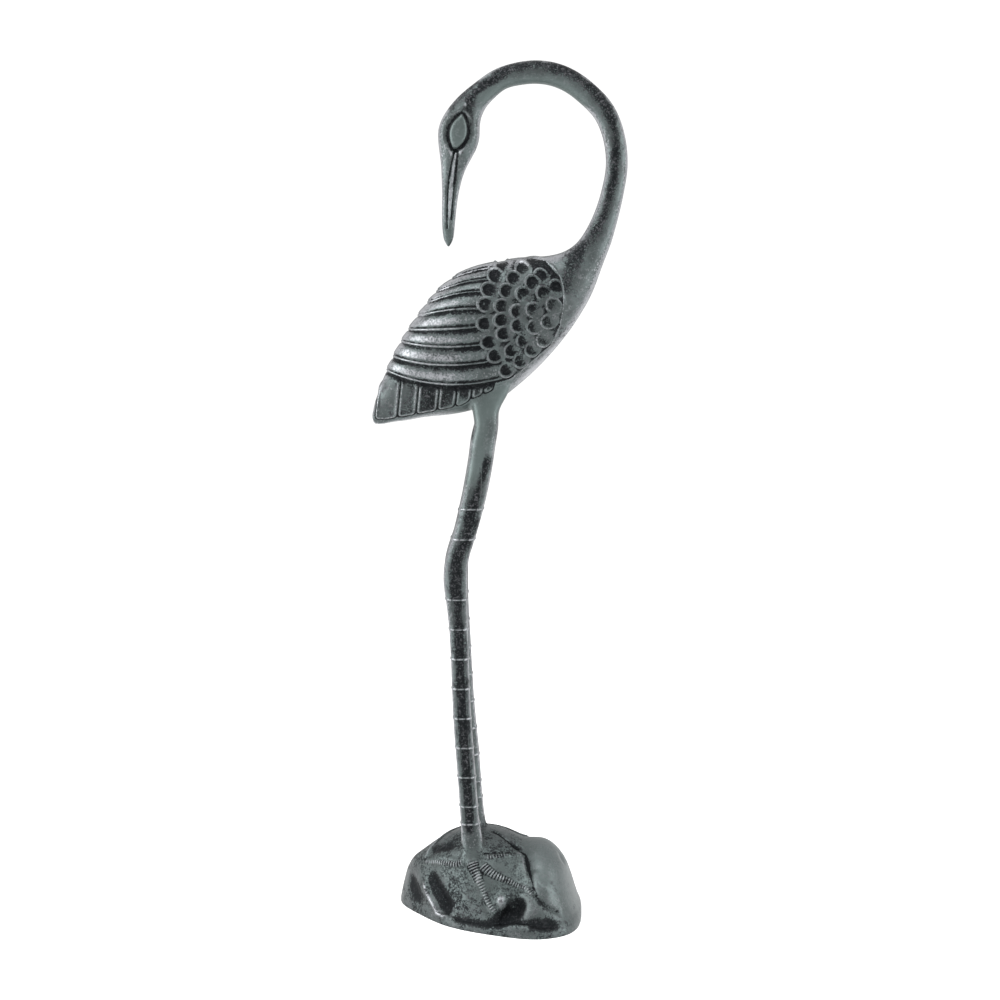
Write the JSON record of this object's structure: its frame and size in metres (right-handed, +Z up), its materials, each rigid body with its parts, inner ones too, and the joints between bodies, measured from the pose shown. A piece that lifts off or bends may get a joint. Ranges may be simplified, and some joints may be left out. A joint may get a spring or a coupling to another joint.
{
  "type": "garden statue",
  "caption": "Garden statue of a standing crane, its neck arched back over its body and its beak pointing down, cast in one piece with its legs and a rock base.",
  "frame": {"origin": "middle of the rock's flat underside, on the ground", "axes": "+Z up along the statue's height, +X the way the bird's breast faces, +Y toward its left side"},
  "size_m": [0.263, 0.1747, 0.8999],
  "materials": {
    "patina_metal": "grey-green patina, rubbed bright on the edges"
  },
  "bodies": {
    "root": {"crane_statue": "patina_metal"}
  },
  "joints": []
}
